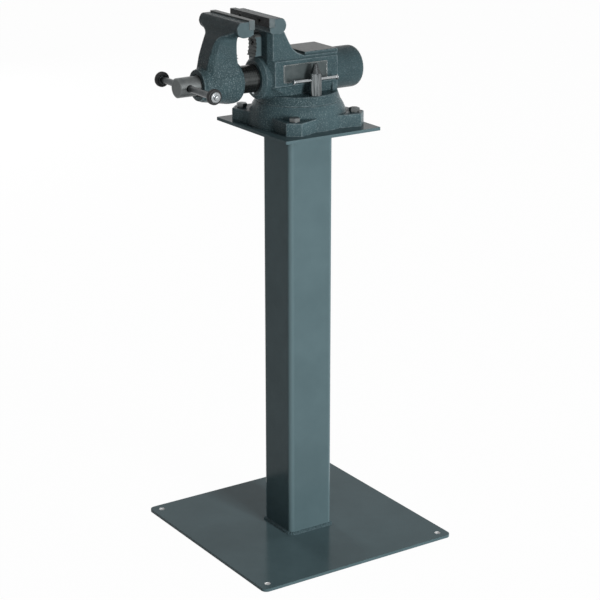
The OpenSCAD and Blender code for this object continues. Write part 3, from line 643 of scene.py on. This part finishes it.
def weld_bead(name, node, seat_z, lift):
    """A weld bead round the square tube: a bulging fillet with the ripples of each pass."""
    low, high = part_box(node)
    tube_low, tube_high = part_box("column_tube")
    leg = (high.z - low.z) * 0.98
    half = (tube_high.x - tube_low.x) / 2
    straight = 2 * (half - COLUMN_CORNER_R)
    arc = math.pi / 2 * COLUMN_CORNER_R
    lap = 4 * (straight + arc)
    ripple = 4.2 * MM
    swell = 17 * ripple / 3
    # Shares of the leg: the mean reach, the height of ripple and swell, and the sag of the fillet's face
    mean, ripple_share, swell_share, sag = 0.82, 0.13, 0.06, 0.18
    # Shares of a ripple that it leans, and of a radian that the swell starts ahead
    lean, swell_start = 0.35, 1.3
    rows, steps = 520, 9
    bm = bmesh.new()
    loops = []
    for k in range(rows):
        run = lap * k / rows
        side, rest = divmod(run, straight + arc)
        if rest < straight:
            local, out = Vector((half, rest - straight / 2, 0)), Vector((1, 0, 0))
        else:
            turn = (rest - straight) / COLUMN_CORNER_R
            out = Vector((math.cos(turn), math.sin(turn), 0))
            centre = half - COLUMN_CORNER_R
            local = Vector((centre, centre, 0)) + COLUMN_CORNER_R * out
        foot, out = turned(local, math.pi / 2 * side), turned(out, math.pi / 2 * side)
        loop = []
        for i in range(steps):
            t = math.pi / 2 * i / (steps - 1)
            wave = ripple_share * math.sin(2 * math.pi * (run / ripple + lean * math.sin(2 * t)))
            wave += swell_share * math.sin(2 * math.pi * run / swell + swell_start)
            reach = leg * (mean + wave * math.sin(2 * t))
            bulge = 1 - sag * math.sin(2 * t)
            rise = Vector((0, 0, seat_z + lift * reach * bulge * math.sin(t)))
            loop.append(bm.verts.new(foot + out * reach * bulge * math.cos(t) + rise))
        loops.append(loop)
    skin(bm, loops + loops[:1], closed=False)
    bead = solid(name, bm)
    for face in bead.data.polygons:
        face.use_smooth = True
    dress(bead, [node], WELD)


def bolt_centres():
    """The bolts' places, from the four solids of their CAD node."""
    points = [v.co for v in frame["nodes"]["mounting_bolts"].data.vertices]
    centres = []
    for sx, sy in ((-1, -1), (1, -1), (1, 1), (-1, 1)):
        mine = [p for p in points if p.x * sx > 0 and p.y * sy > 0 and p.z < DECK_Z]
        xs, ys = [p.x for p in mine], [p.y for p in mine]
        centres.append(((min(xs) + max(xs)) / 2, (min(ys) + max(ys)) / 2))
    return centres


def hex_bolts():
    """Hex bolts with chamfered heads, washer faces and threads that come through the head plate."""
    low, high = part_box("mounting_bolts")
    flat, head_h = 19.05 * MM, 8.0 * MM
    chamfer, edge = 1.1 * MM, 0.35 * MM
    corner_r, top_r = flat / math.sqrt(3), flat / 2 * 0.96
    face_h, face_r = 0.8 * MM, flat * 0.47
    shank, pitch, depth = 6.25 * MM, 1.95 * MM, 0.9 * MM
    turn_of_next, crease = 0.4, math.radians(20)
    seat = high.z - head_h
    for number, (x, y) in enumerate(bolt_centres()):
        turns = [math.pi / 3 * i + turn_of_next * number for i in range(6)]
        rings = [(seat + face_h, corner_r), (high.z - chamfer, corner_r), (high.z, top_r)]
        bm = bmesh.new()
        loops = [[bm.verts.new((x + r * math.cos(t), y + r * math.sin(t), z)) for t in turns]
                 for z, r in rings]
        skin(bm, loops)
        bm.faces.new(loops[0])
        bm.faces.new(loops[-1])
        bmesh.ops.recalc_face_normals(bm, faces=bm.faces)
        bmesh.ops.bevel(bm, geom=bm.edges[:], offset=edge, segments=2, affect="EDGES")
        head = smooth_by_angle(solid("bolt_head", bm), crease)
        collar = lathe("bolt_face", [(0, 0), (0, face_r), (face_h, face_r), (face_h, 0)],
                       (x, y, seat), (0, 0, 1), 48)
        thread = threaded("bolt_thread", (x, y, low.z), (0, 0, 1), seat - low.z, shank, pitch, depth)
        bolt = join("mounting_bolt_%d" % (number + 1), [head, collar, thread])
        dress(bolt, ["mounting_bolts"], TURNED)


# Castings

def near(values, place, reach=CRISP):
    """1 at the place, falling to 0 beyond the reach."""
    return np.clip(1.6 - np.abs(values - place) / reach, 0, 1)


def off_axis(points):
    """Distance of each point from the spindle's axis."""
    return np.hypot(points[:, 1], points[:, 2] - AXIS_Z)


def jaw_bar_crisp(points, insert_node):
    """Machined ends, top and insert seat of a jaw's bar."""
    low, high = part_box(insert_node)
    ends = near(np.abs(points[:, 1]), BAR_HIGH.y) * (points[:, 2] > low.z - BAR_DEPTH)
    seat_x = high.x if insert_node == "rear_insert" else low.x
    seat = near(points[:, 0], seat_x) * (points[:, 2] > low.z - CRISP)
    shelf = near(points[:, 2], low.z) * (np.abs(points[:, 0] - (low.x + high.x) / 2) < (high.x - low.x) / 2)
    top = near(points[:, 2], BAR_HIGH.z)
    return np.maximum.reduce([0.9 * ends, seat, shelf, 0.75 * top])


def on_bar_end(centre, normal):
    """Whether a face is on a machined end of a jaw's bar."""
    return abs(normal.y) > FLAT_FACING and abs(centre.y) > BAR_HIGH.y - ON_FACE


def swivel_base():
    """Base casting: crisp at its bore, its foot and the face that the body turns on."""
    def crisp(points):
        bore = near(np.hypot(points[:, 0], points[:, 1]), SPIGOT_R)
        return np.maximum.reduce([0.9 * near(points[:, 2], BASE_TOP_Z), near(points[:, 2], DECK_Z), bore])
    piece = cast("swivel_base_casting", "swivel_base", 5, crisp)
    # Painted light: the base's enamel is lightened, and its painted glint flecks keep full strength at every
    # height
    enamel = hammer_paint("base_enamel", 60 * MM, 90 * MM, 1.0, painted_light_gain=1.35)
    dress(piece, ["swivel_base"], enamel)


def vise_body():
    """Body casting: crisp where it is machined, and bare iron on its anvil."""
    def crisp(points):
        radius = off_axis(points)
        bore = near(radius, TUBE_R) * (points[:, 2] < AXIS_Z + BORE_TOP)
        seat = near(radius, CAP_SEAT_R) * (points[:, 0] > BODY_HIGH.x - CAP_SEAT_ZONE)
        parting = 0.9 * near(points[:, 2], BASE_TOP_Z, PARTING_REACH)
        spigot = points[:, 2] < BASE_TOP_Z
        anvil = 0.8 * near(points[:, 2], ANVIL_Z) * (points[:, 0] > ANVIL_FRONT)
        plate_z = (PLATE_LOW.z + PLATE_HIGH.z) / 2
        plate = near(points[:, 1], PLATE_HIGH.y) * near(points[:, 2], plate_z, PLATE_REACH)
        bar = jaw_bar_crisp(points, "rear_insert")
        return np.maximum.reduce([bore, seat, parting, 1.0 * spigot, anvil, plate, bar])
    piece = cast("vise_body_casting", "body_casting", 4, crisp)
    # Painted light: glint flecks fade above the skirt, and the enamel is lightened a little
    enamel = hammer_paint("body_enamel", 68 * MM, 90 * MM, 0.4, painted_light_gain=1.05)
    dress(piece, ["body_casting"], enamel, PAINT_SMOOTH, IRON)
    paint_faces(piece, 1, on_bar_end)
    ground = 0.5 * MM
    paint_faces(piece, 2, lambda c, n: n.z > FLAT_FACING and abs(c.z - ANVIL_Z) < ground)


def rear_cap():
    """Rear cap casting, a little crisper in a ring at the body's rearmost point."""
    def crisp(points):
        return near(points[:, 0], BODY_HIGH.x, PARTING_REACH) * 0.6
    # Painted glint flecks fade almost at once on the cap
    enamel = hammer_paint("cap_enamel", 0, 10 * MM, 0.3)
    dress(cast("rear_cap_casting", "rear_cap", 4, crisp), ["rear_cap"], enamel)


def moving_jaw():
    """Moving jaw casting: crisp at its bore, the face and bore of its boss, and its bar."""
    boss_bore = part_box("thrust_washer")[1].z - AXIS_Z + 0.8 * MM
    boss_back = BAR_LOW.x + 8 * MM

    def crisp(points):
        radius = off_axis(points)
        bore = near(radius, TUBE_R, PARTING_REACH)
        boss = 0.7 * near(points[:, 0], BAR_LOW.x) + near(radius, boss_bore) * (points[:, 0] < boss_back)
        return np.maximum.reduce([bore, np.clip(boss, 0, 1), jaw_bar_crisp(points, "front_insert")])
    piece = cast("moving_jaw_casting", "front_jaw_casting", 6, crisp)
    # Painted glint flecks full on the jaw's lower part, faint higher up
    enamel = hammer_paint("jaw_enamel", 120 * MM, 175 * MM, 0.35)
    dress(piece, ["front_jaw_casting"], enamel, PAINT_SMOOTH)
    paint_faces(piece, 1, on_bar_end)


# Jaw faces

def corner_cutter(x0, x1, y, z, r):
    """Cutter that rounds an upper corner at (y, z), along X."""
    s = math.copysign(1, y)
    out = 2 * MM
    arc = [(y - s * r * (1 - math.cos(t)), z - r * (1 - math.sin(t))) for t in
           (math.pi / 2 * i / 12 for i in range(13))]
    outline = [(y + s * out, z - r), *arc, (y - s * r, z + out), (y + s * out, z + out)]
    bm = bmesh.new()
    ends = [[bm.verts.new((x, *p)) for p in outline] for x in (x0, x1)]
    skin(bm, ends)
    bm.faces.new(ends[0])
    bm.faces.new(ends[1])
    return solid("corner_cutter", bm)


def jaw_faces():
    """Inserts with toothed faces, pipe jaws with rounded corners, and the screws that hold them."""
    tooth_depth, corner_r = 0.3 * MM, 9 * MM
    for side, grip in (("front", 1), ("rear", -1)):
        low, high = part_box(side + "_insert")
        face_x = high.x if side == "front" else low.x
        insert = bevelled(side + "_insert_bar", side + "_insert", width=0.5 * MM)
        dress(insert, [side + "_insert"], JAW, SERRATED, GROUND)
        paint_faces(insert, 1, lambda c, n: n.x * grip > FACING and abs(c.x - face_x) < tooth_depth)
        paint_faces(insert, 2, lambda c, n: abs(n.y) > FACING and abs(c.y) > high.y - MM)
        screws = bevelled(side + "_insert_screw_pair", side + "_insert_screws", width=0.3 * MM)
        dress(screws, [side + "_insert_screws"], OXIDE)
        pipe = bevelled(side + "_pipe_jaw_block", side + "_pipe_jaw", width=0.35 * MM)
        low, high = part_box(side + "_pipe_jaw")
        for s in (-1, 1):
            pipe = cut(pipe, corner_cutter(low.x - MM, high.x + MM, s * high.y, high.z, corner_r))
        dress(pipe, [side + "_pipe_jaw"], JAW, PAINT_SMOOTH)
        if side == "rear":
            paint_faces(pipe, 1, lambda c, n: abs(n.y) > FACING)
        screw = bevelled(side + "_pipe_screw", side + "_pipe_jaw_screw", width=0.3 * MM)
        dress(screw, [side + "_pipe_jaw_screw"], OXIDE)


# Slide, spindle and handle

def slide_and_key():
    """Slide tube and the pieces inside the barrel, each with its name, its broken edges and its finish."""
    for node, name, width, finish in (("slide_tube", "slide_tube_bar", 0.6 * MM, SLIDE),
                                      ("guide_key", "guide_key_bar", 0.3 * MM, PLATED),
                                      ("thrust_washer", "thrust_washer_ring", 0.3 * MM, OXIDE),
                                      ("retaining_collar", "retaining_collar_ring", 0.4 * MM, TURNED),
                                      ("collar_pin", "collar_pin_rod", 0.3 * MM, TURNED),
                                      ("spindle_nut", "spindle_nut_tube", 0.4 * MM, TURNED)):
        dress(bevelled(name, node, width), [node], finish)


def handle_place():
    """The handle bar's x, radius and two ends along Y."""
    low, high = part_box("handle_bar")
    return (low.x + high.x) / 2, (high.x - low.x) / 2, low.y, high.y


def spindle():
    """Spindle: head with a dished face and a cross hole, plain journal and screw thread."""
    low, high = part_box("spindle")
    head_r = (high.z - low.z) / 2
    head_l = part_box("thrust_washer")[0].x - low.x
    journal_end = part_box("retaining_collar")[1].x
    journal_l = journal_end - low.x
    face_r = head_r - 1.9 * MM
    dish, dish_slope = 0.8 * MM, 1.2 * MM
    lip, lip_r = 0.2 * MM, face_r + 0.5 * MM
    crown, crown_r = 1.3 * MM, head_r - 0.3 * MM
    chamfer = 1.0 * MM
    run_out, root_r = 4 * MM, 10 * MM
    profile = [(dish, 0), (dish, face_r - dish_slope), (0, face_r), (lip, lip_r), (crown, crown_r),
               (head_l - chamfer, head_r), (head_l, head_r - chamfer), (head_l, JOURNAL_R),
               (journal_l, JOURNAL_R), (journal_l, SCREW_R), (journal_l + run_out, root_r),
               (journal_l + run_out, 0)]
    head = lathe("spindle_head", profile, (low.x, 0, AXIS_Z), (1, 0, 0))
    x, r, _, _ = handle_place()
    mouth_r, drill_r = r + 2.2 * MM, r + 0.15 * MM
    mouth_l, drill_l = head_r * 0.18, head_r * 2.12
    drill = lathe("drill", [(0, 0), (0, mouth_r), (mouth_l, drill_r), (drill_l - mouth_l, drill_r),
                            (drill_l, mouth_r), (drill_l, 0)],
                  (x, -drill_l / 2, AXIS_Z), (0, 1, 0), 64)
    head = cut(head, drill)
    thread_start = journal_end + run_out
    thread = threaded("spindle_thread", (thread_start, 0, AXIS_Z), (1, 0, 0), high.x - thread_start,
                      SCREW_R, SCREW_LEAD, SCREW_DEPTH)
    piece = join("spindle_screw", [head, thread])
    dress(piece, ["spindle"], TURNED, HEAD_FACE)
    face_end = low.x + 1.2 * MM
    paint_faces(piece, 1, lambda c, n: n.x < -0.95 and c.x < face_end
                and math.hypot(c.y, c.z - AXIS_Z) < face_r)


def handle():
    """Handle bar with a washer, a rubber ring and a riveted stop at each end."""
    x, r, low_y, high_y = handle_place()
    bar = lathe("handle_rod", rounded([(0, 0), (0, r), (high_y - low_y, r), (high_y - low_y, 0)], 0.8 * MM),
                (x, low_y, AXIS_Z), (0, 1, 0), 64)
    dress(bar, ["handle_bar"], HANDLE)
    bore = r + 0.12 * MM
    washer_r, washer_t, washer_edge = 9.5 * MM, 2.5 * MM, 0.4 * MM
    ring_edge = 3 * MM
    plate_t, plate_side, plate_slope = 4 * MM, 2.6 * MM, 1.4 * MM
    stud_round, stop_edge = 1.2 * MM, 0.6 * MM
    washers = []
    for side, s in (("near", -1), ("far", 1)):
        low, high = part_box("handle_ring_" + side)
        ring_r, ring_t = (high.z - low.z) / 2, high.y - low.y
        start = (x, low.y if s > 0 else high.y, AXIS_Z)
        outline = rounded([(0, bore), (0, ring_r), (ring_t, ring_r), (ring_t, bore)], ring_edge, 6)
        ring = lathe("rubber_ring_" + side, outline + [(0, bore)], start, (0, s, 0))
        dress(ring, ["handle_ring_" + side], RUBBER)
        washer = [(0, bore), (-washer_t, bore), (-washer_t, washer_r), (0, washer_r), (0, bore)]
        washers.append(lathe("washer_" + side, rounded(washer, washer_edge), start, (0, s, 0), 64))
        low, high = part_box("handle_end_" + side)
        end_l, end_r = high.y - low.y, (high.z - low.z) / 2
        stud_r = 0.55 * end_r
        stop = rounded([(0, 0), (0, end_r), (plate_side, end_r), (plate_t, end_r - plate_slope),
                        (plate_t, stud_r), (end_l - stud_round, stud_r * 0.94), (end_l, stud_r * 0.6),
                        (end_l, 0)], stop_edge)
        dress(lathe("handle_stop_" + side, stop, (x, low.y if s > 0 else high.y, AXIS_Z), (0, s, 0), 72),
              ["handle_end_" + side], PLATED)
    dress(join("handle_washer_pair", washers), ["handle_washers"], HANDLE)


# Swivel locks

def lock_nut(side):
    """Tall lock nut with a cone end and a cross hole, its cone given darker steel as a painted dark
    reflection.
    """
    low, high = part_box("lock_nut_" + side)
    x, y = (low.x + high.x) / 2, (low.y + high.y) / 2
    r = (high.x - low.x) / 2
    bar_low, bar_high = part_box("lock_bar_" + side)
    bar_z = (bar_low.z + bar_high.z) / 2
    top = high.z - low.z
    cone_h, cone_r, waist = top - LOCK_NUT_H, 0.84 * r, 3.4 * MM
    foot, chamfer, shoulder = 0.8 * MM, 1.4 * MM, 1.8 * MM
    tip_h, tip_r, end_r = 1.0 * MM, 3.9 * MM, 2.6 * MM
    profile = [(0, 0), (0, r - foot), (foot, r), (LOCK_NUT_H - chamfer, r), (LOCK_NUT_H, r - shoulder),
               (LOCK_NUT_H, cone_r), (LOCK_NUT_H + 0.5 * cone_h, cone_r - waist), (top - tip_h, tip_r),
               (top, end_r), (top, 0)]
    nut = lathe("lock_nut_" + side + "_body", profile, (x, y, low.z), (0, 0, 1))
    drill_r, drill_l = 3.35 * MM, 2.4 * r
    drill = lathe("drill", [(0, 0), (0, drill_r), (drill_l, drill_r), (drill_l, 0)],
                  (x - drill_l / 2, y, bar_z), (1, 0, 0), 48)
    nut = cut(nut, drill)
    dress(nut, ["lock_nut_" + side], REFLECTION_STREAKED, HANDLE)
    # Painted dark reflection: the cone takes the darker handle steel
    cone_z = low.z + LOCK_NUT_H - 0.5 * MM
    paint_faces(nut, 1, lambda c, n: c.z > cone_z)


def lock_bar(side):
    """Cross bar of a lock nut, with a knob turned at each end."""
    low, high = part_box("lock_bar_" + side)
    knob_r = (high.z - low.z) / 2
    bar_r, face_r = knob_r / 1.6, knob_r * 0.72
    length = high.x - low.x
    crown, knob_l, neck = 1.1 * MM, 2.3 * MM, 4.2 * MM
    half = [(0, 0), (0, face_r), (crown, knob_r), (knob_l, knob_r), (neck, bar_r)]
    profile = half + [(length - along, radius) for along, radius in reversed(half)]
    start = (low.x, (low.y + high.y) / 2, (low.z + high.z) / 2)
    bar = lathe("lock_bar_" + side + "_rod", rounded(profile, 0.5 * MM, 3), start, (1, 0, 0), 48)
    dress(bar, ["lock_bar_" + side], PLATED)


def swivel_locks():
    """Lock nuts, their cross bars and the T-bolts under them."""
    for side in ("near", "far"):
        lock_nut(side)
        lock_bar(side)
        bolt = "t_bolt_" + side
        dress(bevelled(bolt + "_body", bolt, width=0.5 * MM), [bolt], TURNED)


def side_plate():
    """Blank side plate with a bright rim."""
    low, high = PLATE_LOW, PLATE_HIGH
    rim, front = 1.9 * MM, low.y + 0.8 * MM
    plate = bevelled("blank_side_plate", "name_plate", width=0.25 * MM)
    dress(plate, ["name_plate"], FIELD, RIM)

    def on_rim(centre, _):
        in_field = low.x + rim < centre.x < high.x - rim and low.z + rim < centre.z < high.z - rim
        return centre.y < front and not in_field
    paint_faces(plate, 1, on_rim)


plates_and_column()
weld_bead("foot_weld_bead", "foot_weld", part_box("foot_weld")[0].z, 1)
weld_bead("head_weld_bead", "head_weld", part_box("head_weld")[1].z, -1)
hex_bolts()
swivel_base()
vise_body()
rear_cap()
moving_jaw()
jaw_faces()
slide_and_key()
spindle()
handle()
swivel_locks()
side_plate()


# Floor, light and camera

# Share of the floor that is plain white to the rays that see it, the rest showing the part's shadow
FLOOR_GLOW = 0.98
FLOOR_REACH = 30.0
FLOOR_DROP = 0.2 * MM
PART_MIDDLE = Vector((0, 0, 0.6))
LAMP_DISTANCE = 5.0


def seen_directly(tree):
    """1 for camera, glossy and transmission rays, 0 for the rays that light the part."""
    path = tree.nodes.new("ShaderNodeLightPath")
    value = path.outputs["Is Camera Ray"]
    for ray in ("Is Glossy Ray", "Is Transmission Ray"):
        either = tree.nodes.new("ShaderNodeMath")
        either.operation = "MAXIMUM"
        tree.links.new(value, either.inputs[0])
        tree.links.new(path.outputs[ray], either.inputs[1])
        value = either.outputs[0]
    return value


def floor():
    """Pale floor, close under the part."""
    mesh = bpy.data.meshes.new("floor")
    corners = [(FLOOR_REACH * x, FLOOR_REACH * y, 0) for x, y in ((-1, -1), (1, -1), (1, 1), (-1, 1))]
    mesh.from_pydata(corners, [], [(0, 1, 2, 3)])
    piece = add_object("floor", mesh)
    piece.location.z = -FLOOR_DROP
    material = bpy.data.materials.new("pale_floor")
    material.use_nodes = True
    tree = material.node_tree
    matt = tree.nodes["Principled BSDF"]
    matt.inputs["Base Color"].default_value = (0.9, 0.9, 0.9, 1)
    matt.inputs["Roughness"].default_value = 0.9
    glow = tree.nodes.new("ShaderNodeEmission")
    mix = tree.nodes.new("ShaderNodeMixShader")
    share = tree.nodes.new("ShaderNodeMath")
    share.operation = "MULTIPLY"
    share.inputs[1].default_value = FLOOR_GLOW
    tree.links.new(seen_directly(tree), share.inputs[0])
    tree.links.new(share.outputs[0], mix.inputs["Fac"])
    tree.links.new(matt.outputs["BSDF"], mix.inputs[1])
    tree.links.new(glow.outputs["Emission"], mix.inputs[2])
    tree.links.new(mix.outputs["Shader"], tree.nodes["Material Output"].inputs["Surface"])
    piece.data.materials.append(material)


def world(strength):
    """White surroundings, which light the part only faintly."""
    scene_world = bpy.data.worlds.new("studio")
    bpy.context.scene.world = scene_world
    scene_world.use_nodes = True
    tree = scene_world.node_tree
    background = tree.nodes["Background"]
    level = tree.nodes.new("ShaderNodeMapRange")
    level.inputs["To Min"].default_value = strength
    level.inputs["To Max"].default_value = 1.0
    tree.links.new(seen_directly(tree), level.inputs["Value"])
    tree.links.new(level.outputs["Result"], background.inputs["Strength"])
    background.inputs["Color"].default_value = (1, 1, 1, 1)


def softbox(name, place, target, size, power, glint):
    """A square-edged lamp that faces its target, with or without its image in shiny faces."""
    lamp = bpy.data.lights.new(name, "AREA")
    lamp.shape = "RECTANGLE"
    lamp.size, lamp.size_y = size
    lamp.energy = power
    rig = bpy.data.objects.new(name, lamp)
    rig.location = place
    rig.rotation_mode = "QUATERNION"
    rig.rotation_quaternion = (Vector(target) - Vector(place)).to_track_quat("-Z", "Y")
    rig.visible_glossy = glint
    bpy.context.scene.collection.objects.link(rig)


def around(name, azimuth, elevation, size, power, glint=True):
    """A softbox at a fixed distance from the middle of the part, in a direction given in degrees."""
    a, e = math.radians(azimuth), math.radians(elevation)
    reach = Vector((math.cos(a) * math.cos(e), math.sin(a) * math.cos(e), math.sin(e))) * LAMP_DISTANCE
    softbox(name, PART_MIDDLE + reach, PART_MIDDLE, size, power, glint)


def photo_camera():
    """Camera of the photograph: fitted azimuth, elevation, distance and focal length."""
    azimuth, elevation, distance = math.radians(-33.55), math.radians(18.32), 3.78585
    aim_z, aim_right, aim_down = 0.5, 0.00447, 0.0070
    back = Vector((math.sin(azimuth) * math.cos(elevation), -math.cos(azimuth) * math.cos(elevation),
                   math.sin(elevation)))
    right = Vector((math.cos(azimuth), math.sin(azimuth), 0))
    up = back.cross(right)
    target = Vector((0, 0, aim_z)) + right * aim_right - up * aim_down
    data = bpy.data.cameras.new("photo_camera")
    data.sensor_width = 36
    data.lens = 112.95
    data.clip_end = 100
    camera = bpy.data.objects.new("photo_camera", data)
    camera.location = target + back * distance
    camera.rotation_mode = "QUATERNION"
    camera.rotation_quaternion = (-back).to_track_quat("-Z", "Y")
    bpy.context.scene.collection.objects.link(camera)
    bpy.context.scene.camera = camera


floor()
world(strength=0.045)
around("key", azimuth=274, elevation=10, size=(1.1, 1.8), power=190)
around("upper_right", azimuth=278, elevation=42, size=(0.35, 0.35), power=15)
around("front_glint", azimuth=230, elevation=20, size=(0.25, 0.25), power=10)
around("back", azimuth=86, elevation=3, size=(1.0, 1.0), power=130, glint=False)
around("rear_side", azimuth=355, elevation=3, size=(1.2, 1.0), power=70, glint=False)
photo_camera()
bpy.context.scene.view_settings.view_transform = "Standard"
